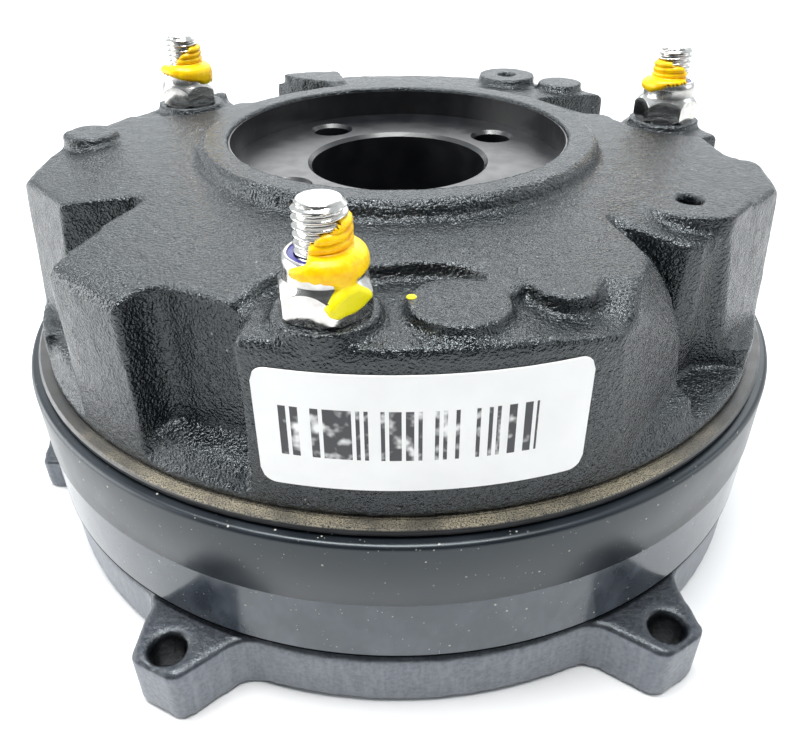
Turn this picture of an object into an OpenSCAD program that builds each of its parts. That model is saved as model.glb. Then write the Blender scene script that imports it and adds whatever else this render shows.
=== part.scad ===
// Spring applied disc brake for the end of an electric motor.
// A lugged friction plate carries three studs; on them hang the brake disc's pressure plate
// and a cast magnet body with its coil, all sealed by a rubber collar.
// Millimetres, +Z up along the shaft axis, z = 0 on the underside of the friction plate,
// the face with the label looks towards -Y.

/* [Friction plate] */
// How far the friction plate stays inside the collar's outer face
plate_inset = 0.8; // [0.3:0.1:2]
// Thickness of the friction plate at its friction face
plate_t = 13.5; // [10:0.5:18]
// Radius of the centring opening for the shaft
plate_bore_r = 27; // [24:0.5:32]
// Direction of the right front lug, degrees
lug_az = -57.5; // [-65:0.5:-50]
// Angle between the two front lugs, and between the two at the back
lug_spread = 60; // [40:1:80]
// Distance of the lug holes from the plate's edge
lug_reach = 7.5; // [6:0.1:14]
// Diameter of the lug holes
lug_hole_d = 6.6; // [5.5:0.1:9]
// Metal between a lug hole and the lug's tip
lug_tip_wall = 1.6; // [1:0.1:4]
// Half width of a lug at the plate
lug_root_half_w = 10.5; // [8:0.5:14]
// Half width of a lug at its tip
lug_tip_half_w = 5.2; // [4.5:0.1:8]
// How far the lugs stay below the friction face
lug_drop = 0.7; // [0.3:0.1:3]
// Direction of the low stop nose at the side, degrees
nose_az = -170; // [-176:0.5:-160]
// Reach of the stop nose from the plate's edge
nose_reach = 7; // [4:0.1:12]
// Half width of the stop nose at its tip
nose_half_w = 8; // [5:0.5:12]
// Height of the stop nose
nose_h = 8; // [4:0.5:12]
// Height of the rim inside the collar above the friction face
spigot_h = 3; // [1.5:0.5:5]

/* [Studs and nuts] */
// Number of studs that hold the brake together
stud_count = 3; // [2:1:4]
// Direction of the front stud, degrees
stud_az = -98.6; // [-110:0.1:-90]
// Distance of the studs from the cast wall's face
stud_inset = 9.2; // [8.6:0.1:11]
// Thread diameter of the studs
stud_d = 8; // [6:0.5:9]
// Length of stud above a nut
stud_free_l = 7.6; // [3:0.2:12]
// Depth of the blind holes that the studs are screwed into
stud_hole_depth = 10.5; // [6:0.5:12]
// Size of the nuts across their flats
nut_af = 13; // [11:0.5:14]
// Height of the hexagon of a nut
nut_hex_h = 6.5; // [4:0.25:8]
// Height of the collar that holds the nylon ring
nut_collar_h = 2.6; // [1.5:0.1:4]

/* [Brake disc and driver] */
// Room between the brake disc and the springs on the studs
disc_play = 3.2; // [1.5:0.1:8]
// Inner radius of the linings
lining_in_r = 39; // [34:0.5:48]
// Thickness of one lining
lining_t = 3.2; // [2:0.1:5]
// Thickness of the disc between the linings
carrier_t = 2.6; // [1.5:0.1:5]
// Outer radius of the thick hub of the disc
carrier_hub_r = 30; // [26:0.5:33]
// Number of spline teeth
spline_teeth = 16; // [10:1:24]
// Root radius of the driver's teeth
spline_root_r = 16.6; // [15:0.1:18]
// Height of the driver's teeth
spline_h = 1.8; // [1:0.1:3]
// Width of a tooth of the driver
spline_w = 3.2; // [2:0.1:4]
// Radius of the shaft bore in the driver
shaft_r = 11; // [8:0.5:12]
// Length of the driver
driver_l = 17; // [12:0.5:17.5]
// How far the driver sits above the friction face
driver_lift = 0.6; // [0.2:0.1:3]
// Width of the key slot in the driver
key_w = 6; // [4:0.5:8]

/* [Pressure plate and springs] */
// Room between the pressure plate and the collar
armature_play = 1.8; // [1:0.1:2.2]
// Thickness of the pressure plate
armature_t = 8; // [5:0.5:12]
// Radius of the opening in the pressure plate
armature_bore_r = 23; // [21.5:0.5:23.5]
// Thickness of the damping plate on the pressure plate
damper_t = 0.5; // [0.3:0.1:1.5]
// Working air gap between the damping plate and the magnet body
air_gap = 0.6; // [0.3:0.05:1.2]
// Number of brake springs
spring_count = 6; // [3:1:8]
// Radius of the circle through the brake springs
spring_circle_r = 31; // [30.5:0.1:31.5]
// Outer diameter of a brake spring
spring_od = 11; // [8:0.5:11.5]
// Wire diameter of a brake spring
spring_wire = 1.8; // [1:0.1:2.4]
// Turns of a brake spring
spring_turns = 7; // [4:1:9]
// Depth of the spring bores in the magnet body
spring_bore_depth = 25; // [18:0.5:27]
// Depth of the spring seats in the pressure plate
spring_seat = 1.5; // [0.5:0.25:3]
// Outer diameter of the counter springs on the studs
counter_od = 12; // [11.5:0.1:12.4]
// Wire diameter of the counter springs
counter_wire = 1.5; // [1:0.1:1.6]
// Turns of a counter spring
counter_turns = 6; // [4:1:8]
// Thickness of the pressure ring above each counter spring
ring_t = 1.5; // [1:0.25:3]

/* [Magnet body] */
// Height of the ledge on top of the flange that covers the collar
ledge_z = 43.6; // [42:0.2:46]
// Thickness of this flange
flange_t = 1.2; // [0.8:0.1:2]
// How far this flange stands out from the cast wall
flange_over = 2.4; // [1:0.1:3]
// Radius of the cast wall at the ledge
wall_r = 80.9; // [72:0.1:92]
// How far the cast wall leans in up to its top
wall_draft = 1; // [0:0.1:2]
// Height of the cast wall from the ledge to the roof
wall_h = 32.2; // [28:0.1:40]
// How far the flats round the nuts lie below the roof's edge
flat_drop = 0.8; // [0.4:0.1:2]
// Rise of the cast roof from the wall to the hub
roof_rise = 3.2; // [1:0.1:6]
// Outer radius of the raised hub ring
hub_r = 43.3; // [41:0.1:45]
// Height of the hub ring above the roof
hub_rise = 3.2; // [2:0.1:8]
// Radius of the recess in the hub
recess_r = 36.4; // [34:0.2:38]
// Depth of the recess in the hub
recess_depth = 6.6; // [3:0.1:8]
// Radius of the bore through the magnet body
bore_r = 19.3; // [18:0.1:21]
// Number of tapped holes in the hub recess
hub_tap_count = 4; // [3:1:6]
// Radius of the circle through these holes
hub_tap_circle_r = 28; // [26:0.25:29.5]
// Diameter of these holes
hub_tap_d = 8.6; // [6:0.1:9]
// Depth of these holes
hub_tap_depth = 13; // [8:0.5:16]
// Height of the seat below each nut
nut_seat_h = 2.1; // [0.5:0.1:4]
// Radius of the seat below each nut
nut_seat_r = 8.4; // [8:0.1:9]
// Height of the floor of the cast pockets above the ledge
pocket_floor_h = 2.4; // [1:0.1:6]
// Diameter of the tapped holes in the cast pads
pad_tap_d = 5; // [4:0.1:6]
// Depth of the tapped holes in the cast pads
pad_tap_depth = 14; // [8:0.5:18]

/* [Coil] */
// Inner radius of the coil slot
coil_in_r = 42.5; // [41:0.25:45]
// Wall between the coil slot and the springs on the studs
coil_wall = 4.7; // [3:0.1:8]
// Depth of the coil slot
coil_depth = 13.4; // [9:0.2:14]
// Wall of the coil former
former_wall = 1.2; // [0.8:0.1:2]
// Thickness of the resin that closes the slot
resin_t = 1.6; // [0.8:0.1:3]
// Radius of the hole for the coil's lead
lead_hole_r = 4.5; // [3:0.1:6]
// Height of the hole for the coil's lead above the ledge
lead_h = 12.4; // [8:0.1:18]
// Direction of the lead's hole, degrees
lead_az = 88; // [80:1:100]

/* [Collar and label] */
// Thickness of the collar's bands
collar_t = 3.8; // [2.5:0.1:6]
// Height of the collar's lower band
collar_low_h = 14.6; // [8:0.2:22]
// Gap between the top of the collar and the flange above it
collar_gap = 0.6; // [0.3:0.1:1.5]
// Width of the label
label_w = 51; // [40:0.5:56]
// Height of the label
label_h = 21; // [16:0.5:23]
// Height of the label's lower edge above the ledge
label_up = 6.4; // [3:0.1:8]
// Direction of the middle of the label, degrees
label_az = -87.3; // [-92:0.1:-82]
// Thickness of the label
label_t = 0.3; // [0.1:0.05:0.6]

/* [Clearances] */
// Gap on each side of a screwed or pressed round part
fit = 0.05; // [0.02:0.01:0.1]
// Gap on each side of a round part that is set in loosely
loose = 0.3; // [0.2:0.05:0.5]
// Play at the flanks of the spline
spline_play = 0.1; // [0.05:0.01:0.2]

/* [Hidden] */
$fn = 96;
eps = 0.01;
over = 40;

// The casting, the collar and the plate follow the wall's radius
skirt_r = wall_r + 0.3;
flange_r = wall_r + flange_over;
collar_in_r = skirt_r + loose;
collar_r = collar_in_r + collar_t;
plate_r = collar_r - plate_inset;
lug_hole_circle_r = plate_r + lug_reach;
nose_tip_r = plate_r + nose_reach;
stud_circle_r = wall_r - stud_inset;
disc_r = stud_circle_r - counter_od / 2 - disc_play;
coil_out_r = stud_circle_r - counter_od / 2 - coil_wall;
armature_r = collar_in_r - armature_play;

// Heights of the casting above its ledge
roof_edge_z = ledge_z + wall_h;
flat_z = roof_edge_z - flat_drop;
nut_seat_z = flat_z + nut_seat_h;
roof_hub_z = roof_edge_z + roof_rise;
hub_z = roof_hub_z + hub_rise;
pocket_floor_z = ledge_z + pocket_floor_h;
lead_z = ledge_z + lead_h;
label_z = ledge_z + label_up;

// The cast pockets were drawn for a wall radius of 80.9 and grow with it
k = wall_r / 80.9;

// The stack, from the friction face up
disc_t = 2 * lining_t + carrier_t;
armature_z = plate_t + disc_t;
damper_z = armature_z + armature_t;
face_z = damper_z + damper_t + air_gap;
spring_z0 = damper_z - spring_seat;
spring_l = face_z + spring_bore_depth - spring_z0;
counter_bore_r = counter_od / 2 + loose;
counter_top_z = face_z + 8;
ring_z = counter_top_z - ring_t;
stud_z0 = plate_t - stud_hole_depth;
nut_h = nut_hex_h + nut_collar_h;
stud_tip_z = nut_seat_z + nut_h + stud_free_l;

// The collar runs from the plate's shoulder to the ledge of the casting
shoulder_z = plate_t - lug_drop;
flange_z = ledge_z - flange_t;
collar_top_z = flange_z - collar_gap;
collar_z0 = shoulder_z + 0.6;
collar_mid_z = collar_z0 + collar_low_h;
spigot_in_r = stud_circle_r + counter_bore_r + 1.6;

// The cast roof is a shallow cone between the hub ring and the wall
wall_top_r = wall_r - wall_draft;
edge_round = 2.6;
face_lean = 8;
step_z = ledge_z + 7;
roof_slope = (roof_hub_z - roof_edge_z) / (wall_top_r - hub_r);
recess_z = hub_z - recess_depth;
coil_z = face_z + coil_depth;
label_mid_z = label_z + label_h / 2;

// Lugs reach past their holes by the wall at the tip
lug_top_z = shoulder_z - 0.1;
lug_tip_r = lug_hole_circle_r + lug_hole_d / 2 + lug_tip_wall;
LUG_DIRS = [lug_az, lug_az - lug_spread, lug_az + 180, lug_az - lug_spread + 180];

// Pads on the cast roof: direction, radius of their circle, own radius, rise above the roof
PAD_BIG = [-82.6, k * 70, 8, 0.4];
PAD_SMALL = [-67.6, k * 68.3, 5.7, 0.2];
PAD_LEFT = [171.4, k * 72.6, 6.2, 2.6];
PAD_RIGHT = [-30, k * 63.5, 9.5, 0.8];
PAD_BACK = [63.5, k * 71, 8, 2.8];
PAD_BACK_SIDE = [51, k * 73, 6, 2.4];

function polar(r, a) = [r * cos(a), r * sin(a)];
function unit(v) = v / norm(v);
function stud_dir(i) = stud_az + i * 360 / stud_count;
function spring_dir(i) = 15 + i * 360 / spring_count;
function roof_z(r) = roof_hub_z - (r - hub_r) * roof_slope;
function wall_at(z) = wall_r - wall_draft * (z - ledge_z) / (roof_edge_z - ledge_z);

// Arc that rounds the corner b of the path a, b, c
function corner(a, b, c, r, n) =
  r <= 0 ? [b] :
  let (u = unit(a - b), w = unit(c - b), half = acos(u * w) / 2)
  let (m = b + unit(u + w) * r / sin(half), s = b + u * r / tan(half) - m)
  let (e = b + w * r / tan(half) - m, a0 = atan2(s[1], s[0]), d0 = atan2(e[1], e[0]) - a0)
  let (d = d0 > 180 ? d0 - 360 : d0 < -180 ? d0 + 360 : d0)
  [for (i = [0 : n]) m + r * [cos(a0 + d * i / n), sin(a0 + d * i / n)]];

// Closed outline p with its corners rounded by the radii in r
function rounded(p, r, n = 5) = [
  for (i = [0 : len(p) - 1])
    each corner(p[(i + len(p) - 1) % len(p)], p[i], p[(i + 1) % len(p)], r[i], n)
];

// Sector of a ring between two directions, closed outside by a straight line
function sector(r0, r1, a0, a1) = concat(
  [for (i = [0 : 4]) polar(r0, a0 + (a1 - a0) * i / 4)],
  [for (i = [4 : -1 : 0]) polar(r1, a0 + (a1 - a0) * i / 4)]
);

module at_stud(i) {
  rotate(stud_dir(i)) translate([stud_circle_r, 0, 0]) children();
}

module ring(r_in, r_out, z0, h) {
  translate([0, 0, z0]) difference() {
    cylinder(r = r_out, h = h);
    translate([0, 0, -eps]) cylinder(r = r_in, h = h + 2 * eps);
  }
}

// Friction plate: turned disc with a rim for the collar, cast lugs and threaded stud holes
module lug_outline() {
  side = lug_root_half_w + 9;
  foot = sqrt(plate_r * plate_r - side * side) - 0.3;
  polygon(rounded([
    [foot - 8, -side], [foot, -side], [plate_r - 0.4, -lug_root_half_w],
    [lug_tip_r, -lug_tip_half_w], [lug_tip_r, lug_tip_half_w],
    [plate_r - 0.4, lug_root_half_w], [foot, side], [foot - 8, side]
  ], [0, 0, 6, 2.6, 2.6, 6, 0, 0]));
}

module friction_plate() {
  color("#3a3d40") difference() {
    union() {
      rotate_extrude() polygon([
        [plate_bore_r, 0], [plate_r - 0.8, 0], [plate_r, 0.8],
        [plate_r, shoulder_z - 1.2], [plate_r - 1.2, shoulder_z], [skirt_r, shoulder_z],
        [skirt_r, plate_t + spigot_h - 0.6], [skirt_r - 0.6, plate_t + spigot_h],
        [spigot_in_r, plate_t + spigot_h], [spigot_in_r, plate_t],
        [plate_bore_r + 1, plate_t], [plate_bore_r, plate_t - 1]
      ]);
      for (a = LUG_DIRS) rotate(a) linear_extrude(lug_top_z) lug_outline();
      rotate(nose_az) linear_extrude(nose_h) polygon(rounded([
        [plate_r - 8, -nose_half_w - 3], [nose_tip_r, -nose_half_w],
        [nose_tip_r, nose_half_w], [plate_r - 8, nose_half_w + 3]
      ], [0, 1.5, 1.5, 0]));
    }
    for (a = LUG_DIRS) rotate(a)
      translate([lug_hole_circle_r, 0, -eps]) cylinder(d = lug_hole_d, h = plate_t + 1);
    for (i = [0 : stud_count - 1]) at_stud(i)
      translate([0, 0, stud_z0]) cylinder(r = stud_d / 2 + fit, h = plate_t);
  }
}

// Stud with chamfered ends
module stud(i) {
  r = stud_d / 2;
  c = 0.9;
  color("#c9c6be") at_stud(i) rotate_extrude() polygon([
    [0, stud_z0], [r - c, stud_z0], [r, stud_z0 + c],
    [r, stud_tip_z - c], [r - c, stud_tip_z], [0, stud_tip_z]
  ]);
}

// Lock nut: chamfered hexagon with a round collar for the nylon ring
module lock_nut(i) {
  corner_r = nut_af / sqrt(3);
  collar_r1 = nut_af / 2 - 0.5;
  color("#d8d6d0") at_stud(i) translate([0, 0, nut_seat_z]) difference() {
    union() {
      intersection() {
        rotate(20) cylinder(r = corner_r, h = nut_hex_h, $fn = 6);
        rotate_extrude() polygon([
          [0, 0], [corner_r - 0.5, 0], [corner_r + 0.3, 0.64],
          [corner_r + 0.3, nut_hex_h - 1.2], [collar_r1 + 0.2, nut_hex_h], [0, nut_hex_h]
        ]);
      }
      rotate_extrude() polygon([
        [0, nut_hex_h - 1], [collar_r1, nut_hex_h - 1], [collar_r1, nut_h - 0.9],
        [collar_r1 - 0.9, nut_h], [0, nut_h]
      ]);
    }
    translate([0, 0, -eps]) cylinder(r = stud_d / 2 + fit, h = nut_h + 1);
    translate([0, 0, nut_h - nut_collar_h + 0.3]) cylinder(r = stud_d / 2 + 0.95, h = nut_h);
  }
}

module nylon_ring(i) {
  color("#3b56c4") at_stud(i)
    ring(stud_d / 2 + fit, stud_d / 2 + 0.95 - fit, nut_seat_z + nut_h - nut_collar_h + 0.3, nut_collar_h - 0.6);
}

// Round wire wound along a helix from z = 0 to z = length
module coil_spring(mean_r, wire_r, length, turns, sides = 6, steps = 12) {
  n = turns * steps;
  rise = length - 2 * wire_r - 2 * eps;
  pts = [
    for (i = [0 : n]) for (k = [0 : sides - 1])
      let (a = 360 * i / steps, b = 360 * k / sides, q = mean_r + wire_r * cos(b))
      [q * cos(a), q * sin(a), wire_r + eps + rise * i / n + wire_r * sin(b)]
  ];
  skin = [
    for (i = [0 : n - 1]) for (k = [0 : sides - 1])
      let (p = i * sides + k, q = i * sides + (k + 1) % sides)
      each [[p, q, p + sides], [q, q + sides, p + sides]]
  ];
  cap0 = [[for (k = [sides - 1 : -1 : 0]) k]];
  cap1 = [[for (k = [0 : sides - 1]) n * sides + k]];
  polyhedron(pts, concat(skin, cap0, cap1));
}

module counter_spring(i) {
  color("#9aa0a6") at_stud(i) translate([0, 0, plate_t])
    coil_spring(counter_od / 2 - counter_wire / 2, counter_wire / 2, ring_z - plate_t, counter_turns);
}

module pressure_ring(i) {
  color("#b9b4a8") at_stud(i) ring(stud_d / 2 + loose, counter_bore_r - loose / 2, ring_z, ring_t);
}

// Spline outline of the driver, grown by a play for the matching slot in the disc
module spline_outline(play) {
  circle(r = spline_root_r + play);
  for (i = [0 : spline_teeth - 1]) rotate(i * 360 / spline_teeth)
    translate([0, -spline_w / 2 - play])
      square([spline_root_r + spline_h + play, spline_w + 2 * play]);
}

module driver() {
  color("#8d9196") translate([0, 0, plate_t + driver_lift]) difference() {
    linear_extrude(driver_l) spline_outline(0);
    translate([0, 0, -eps]) cylinder(r = shaft_r, h = driver_l + 1);
    translate([0, -key_w / 2, -eps]) cube([shaft_r + 2.8, key_w, driver_l + 1]);
  }
}

// Brake disc: thick splined hub, thin web and a lining bonded on each side
module disc_carrier() {
  hub_t = disc_t - 0.8;
  color("#6d7278") difference() {
    union() {
      translate([0, 0, plate_t + lining_t]) cylinder(r = disc_r, h = carrier_t);
      translate([0, 0, plate_t + 0.4]) cylinder(r = carrier_hub_r, h = hub_t);
    }
    translate([0, 0, plate_t - 1]) linear_extrude(disc_t + 2) spline_outline(spline_play);
  }
}

module lining_lower() {
  color("#5b4a3f") ring(lining_in_r, disc_r, plate_t, lining_t);
}

module lining_upper() {
  color("#5b4a3f") ring(lining_in_r, disc_r, plate_t + lining_t + carrier_t, lining_t);
}

module stud_clearances(z0, h) {
  for (i = [0 : stud_count - 1]) at_stud(i) translate([0, 0, z0])
    cylinder(r = counter_bore_r + 0.2, h = h);
}

module pressure_plate() {
  color("#7f858b") difference() {
    rotate_extrude() polygon([
      [armature_bore_r, armature_z], [armature_r - 0.6, armature_z], [armature_r, armature_z + 0.6],
      [armature_r, damper_z - 0.6], [armature_r - 0.6, damper_z], [armature_bore_r, damper_z]
    ]);
    stud_clearances(armature_z - 1, armature_t + 2);
    for (i = [0 : spring_count - 1]) rotate(spring_dir(i))
      translate([spring_circle_r, 0, spring_z0]) cylinder(r = spring_od / 2 + loose, h = spring_seat + 1);
  }
}

module damping_plate() {
  inner = spring_circle_r + spring_od / 2 + 2;
  color("#a7a393") difference() {
    ring(inner, armature_r - 0.8, damper_z, damper_t);
    stud_clearances(damper_z - 1, damper_t + 2);
  }
}

module brake_spring(i) {
  color("#2f5fb0") rotate(spring_dir(i)) translate([spring_circle_r, 0, spring_z0])
    coil_spring(spring_od / 2 - spring_wire / 2, spring_wire / 2, spring_l, spring_turns);
}

// Turned envelope of the casting: skirt, wall with draft, coned roof, hub ring and recess
module casting_envelope() {
  edge = [wall_top_r, roof_edge_z];
  top_edge = corner([wall_at(ledge_z + 3), ledge_z + 3], edge, [hub_r, roof_hub_z], edge_round, 6);
  rotate_extrude() polygon(concat(
    [[bore_r, face_z], [skirt_r - 0.6, face_z], [skirt_r, face_z + 0.6]],
    [[skirt_r, flange_z], [flange_r, flange_z], [flange_r, ledge_z - 0.5]],
    [[flange_r - 0.5, ledge_z], [wall_r, ledge_z]],
    top_edge,
    [[hub_r, roof_hub_z], [hub_r, hub_z - 1.4], [hub_r - 1.4, hub_z], [recess_r + 0.5, hub_z]],
    [[recess_r, hub_z - 0.5], [recess_r, recess_z], [bore_r + 0.8, recess_z], [bore_r, recess_z - 0.8]]
  ));
}

// Space above the sloping, rounded floor that all cast pockets share
module above_pocket_floor() {
  mound = 4.5;
  rotate_extrude() polygon(concat(
    [[wall_r + over, pocket_floor_z], [wall_r + over, hub_z + 10], [hub_r - 4, hub_z + 10]],
    [[hub_r - 4, pocket_floor_z + mound + 3]],
    [for (a = [90 : -18 : 0])
      [wall_r - 1 - mound + mound * cos(a), pocket_floor_z + mound * sin(a)]]
  ));
}

// Half space beyond a plane through p whose outward normal points to direction a, raised by e
module beyond(p, a, e) {
  s = over * 3;
  translate(p) rotate(a) rotate([0, -e, 0]) translate([0, -s, -s]) cube([s, 2 * s, 2 * s]);
}

// Point of the pocket drawings at the height of the roof's edge
function at_roof(p) = [k * p[0], k * p[1], roof_edge_z];

module above(z) {
  translate([-over * 3, -over * 3, z]) cube([over * 6, over * 6, over * 2]);
}

// Open pocket beside the left tower, between its front wall and the web of the front arm
module left_valley() {
  linear_extrude(hub_z + 1) polygon(rounded([
    polar(k * 55, -150.5), k * [-65.3, -28.6], polar(wall_r + over, -150),
    polar(wall_r + over, -126.5), k * [-53.2, -39.3]
  ], [2, 2.5, 0, 0, 4]));
}

// Leaning outer face of the left tower, down to the step at the parting line
module left_face() {
  intersection() {
    beyond(at_roof([-65.3, -28.4]), -140, face_lean);
    linear_extrude(hub_z + 1) polygon(k * [[-63, -15], [-63, -50], [-130, -80], [-130, 10]]);
    above(step_z);
  }
}

// Open pocket beside the right tower: the facets of the front arm, a deep slot and the tower's outer face
module right_valley() {
  crest = at_roof([41.4, -54.6]) + [0, 0, 1];
  slot_top = [36.4, -36.4];
  intersection() {
    union() {
      beyond(crest, -24.2, 22.7);
      beyond(crest, 13, 40.3);
      linear_extrude(hub_z + 1)
        polygon(k * [slot_top, [51, -52], [60, -75], [120, -75], [120, 0], [60, 0]]);
    }
    union() {
      translate([0, 0, pocket_floor_z + 0.5]) linear_extrude(over) polygon(rounded(k * [
        slot_top, [41.1, -41.6], [51, -46], [55, -44.8], [58.2, -41.6], [63, -41.3],
        [75, -42], [120, -50], [120, -110], [30, -110], [30, -37]
      ], [0, 3, 1.5, 1.5, 2, 0, 0, 0, 0, 0, 0]));
      intersection() {
        beyond(at_roof([66.7, -32.5]), -39.6, face_lean);
        above(step_z);
      }
      intersection() {
        beyond(at_roof([59.05, -40.85]), -64.8, 4.5);
        linear_extrude(hub_z + 1) polygon(k * [[57.5, -60], [57.5, -36], [72, -30], [90, -60]]);
        above(step_z);
      }
    }
  }
}

// Sloping shelf in front of the right pad
module right_shelf() {
  intersection() {
    beyond(at_roof([46, -32]) + [0, 0, 2.1], -60, 78);
    linear_extrude(hub_z + 10) polygon(k * [
      [36.6, -36], [41, -42.2], [51, -46.8], [56, -45.5], [64, -43], [64, -36], [47, -28]
    ]);
  }
}

// Leaning flat that takes off the corner between the label's face and this flank
module front_corner() {
  lean = 5.8;
  rotate(-37) translate([wall_r - 9.2, 0, roof_edge_z - 14.8]) rotate([0, -lean, 0])
    translate([0, -over, -over]) cube([over, over, over * 2]);
}

// Recess in the wall beside each nut tower, at a direction from the stud
module wall_recess(i) {
  a = stud_dir(i);
  linear_extrude(hub_z + 1) polygon(rounded(
    [polar(k * 73, a - 23.5), polar(k * 73, a - 9.5), polar(wall_r + over, a - 6), polar(wall_r + over, a - 27)],
    [4, 2, 0, 0]
  ));
}

// Deep pockets on both sides of the block at the back
module back_valleys() {
  linear_extrude(hub_z + 1) polygon(rounded(k * [
    [36.5, 43.5], [47, 27], [55, 26.5], [61, 36], [100, 56], [100, 76]
  ], [3, 3, 3, 4, 0, 0]));
  linear_extrude(hub_z + 1) polygon(rounded(k * [
    [-17.5, 58], [-20, 49.5], [-31, 41], [-41, 40.5], [-47, 53], [-70, 110], [-52, 110], [-36, 70.5]
  ], [2, 3, 3, 3, 4, 0, 0, 2]));
}

// Flats milled into the roof round the nuts and along the front tower
module nut_flats() {
  translate([0, 0, flat_z]) linear_extrude(over) {
    for (i = [0 : stud_count - 1]) at_stud(i) circle(r = nut_seat_r + 5);
    polygon(rounded(k * [
      [-14, -60], [-4.3, -58.7], [5, -57.6], [12.5, -59.6], [17.7, -66.6], [21, -71], [21, -95], [-14, -95]
    ], [1, 4, 6, 6, 3, 0, 0, 0]));
    for (a = [[-110, -62], [10, 31], [134, 153]])
      polygon(sector(k * 70, wall_r + over, a[0], a[1]));
  }
}

// Sloping flat at the foot of the small pad
module pad_foot() {
  intersection() {
    beyond([k * 17, k * -70, flat_z], 0, 83);
    linear_extrude(hub_z + 1) polygon(k * [
      [17.5, -66.6], [19.5, -64], [26, -62.5], [31, -64.3], [37, -71], [42, -95], [17, -95]
    ]);
  }
}

// Round pad that stands on the roof, optionally with its column down to the ledge
module pad(p, z0 = roof_edge_z - 6) {
  rotate(p[0]) translate([p[1], 0, z0]) cylinder(r = p[2], h = roof_z(p[1]) + p[3] - z0);
}

// Raised end of the back block
module back_plateau() {
  z0 = roof_edge_z - 6;
  translate([0, 0, z0]) linear_extrude(roof_edge_z + 2.7 - z0) polygon(rounded(k * [
    [-35, 69.2], [-28.2, 64], [-18.6, 59], [-15, 60.5], [-17.6, 73.6], [-26.4, 72.4]
  ], [1.5, 3, 2, 2, 2, 6]));
}

// Long end of the right pad and the rounded rib below it
module right_pad_end() {
  top = roof_z(PAD_RIGHT[1]) + PAD_RIGHT[3];
  z0 = roof_edge_z - 6;
  translate([0, 0, z0]) linear_extrude(top - z0) polygon(rounded(k * [
    [55, -41], [60, -41], [66.6, -33], [66.3, -28], [60, -24], [53, -30]
  ], [0, 3, 3, 2, 0, 0]));
  translate([k * 62.5, k * -38.4, step_z]) rotate([0, -10.4, 0])
    cylinder(r = 3, h = (roof_edge_z - step_z) / cos(10.4));
}

module pad_tap(p) {
  rotate(p[0]) translate([p[1], 0, roof_z(p[1]) + p[3] - pad_tap_depth])
    cylinder(d = pad_tap_d, h = pad_tap_depth + 1);
}

module magnet_body() {
  color("#2b2d30") difference() {
    union() {
      difference() {
        casting_envelope();
        intersection() {
          union() {
            left_valley();
            front_corner();
            for (i = [0 : 1]) wall_recess(i);
            back_valleys();
          }
          above_pocket_floor();
        }
        left_face();
        right_valley();
        right_shelf();
        nut_flats();
        pad_foot();
      }
      for (i = [0 : stud_count - 1]) at_stud(i) translate([0, 0, flat_z - 4])
        cylinder(r = nut_seat_r, h = nut_seat_z - flat_z + 4);
      for (p = [PAD_BIG, PAD_SMALL, PAD_LEFT, PAD_BACK, PAD_BACK_SIDE]) pad(p);
      pad(PAD_RIGHT);
      right_pad_end();
      back_plateau();
    }
    pad_tap(PAD_RIGHT);
    pad_tap(PAD_BACK);
    for (i = [0 : stud_count - 1]) at_stud(i) {
      translate([0, 0, face_z - 1]) cylinder(r = stud_d / 2 + loose, h = over * 2);
      translate([0, 0, face_z - 1]) cylinder(r = counter_bore_r, h = counter_top_z - face_z + 1);
    }
    for (i = [0 : spring_count - 1]) rotate(spring_dir(i))
      translate([spring_circle_r, 0, face_z - 1]) cylinder(r = spring_od / 2 + loose, h = spring_bore_depth + 1);
    for (i = [0 : hub_tap_count - 1]) rotate(125.8 + i * 360 / hub_tap_count)
      translate([hub_tap_circle_r, 0, recess_z - hub_tap_depth]) {
        cylinder(d = hub_tap_d, h = hub_tap_depth + 1);
        translate([0, 0, hub_tap_depth - 0.8]) cylinder(d1 = hub_tap_d, d2 = hub_tap_d + 2.4, h = 1.2);
      }
    ring(coil_in_r, coil_out_r, face_z - 1, coil_depth + 1);
    rotate(lead_az) translate([coil_out_r - 4, 0, lead_z]) rotate([0, 90, 0]) cylinder(r = lead_hole_r, h = over);
    rotate(lead_az) translate([coil_out_r - 4, 0, coil_z - 1]) cylinder(r = 3, h = lead_z - coil_z + 2);
  }
}

// Coil: plastic former open to the outside, copper winding and the resin that closes the slot
module coil_former() {
  r0 = coil_in_r + fit;
  r1 = coil_out_r - fit;
  z0 = face_z + resin_t;
  color("#d9d2b8") rotate_extrude() polygon([
    [r0, z0], [r1, z0], [r1, z0 + former_wall], [r0 + former_wall, z0 + former_wall],
    [r0 + former_wall, coil_z - former_wall], [r1, coil_z - former_wall], [r1, coil_z], [r0, coil_z]
  ]);
}

module coil_winding() {
  z0 = face_z + resin_t + former_wall;
  color("#b06a35") ring(coil_in_r + former_wall + 2 * fit, coil_out_r - 0.6, z0, coil_z - former_wall - z0);
}

module coil_resin() {
  color("#4a3b30") ring(coil_in_r + fit, coil_out_r - fit, face_z + 0.2, resin_t - 0.2);
}

module lead_grommet() {
  color("#1b1c1e") rotate(lead_az) translate([wall_r - 13, 0, lead_z]) rotate([0, 90, 0])
    ring(lead_hole_r - 1.9, lead_hole_r - fit, 0, 10);
}

// Rubber collar: two bands with a fine groove between them, tucked under the flange
module sealing_collar() {
  g = 0.5;
  color("#1d2023") rotate_extrude() polygon(rounded([
    [collar_in_r, collar_z0], [collar_r - 0.2, collar_z0], [collar_r - 0.2, collar_mid_z - g],
    [collar_r - 0.7, collar_mid_z], [collar_r, collar_mid_z + g], [collar_r, collar_top_z],
    [collar_in_r, collar_top_z]
  ], [0, 0.6, 0, 0, 0, 0.8, 0], 4));
}

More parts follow.
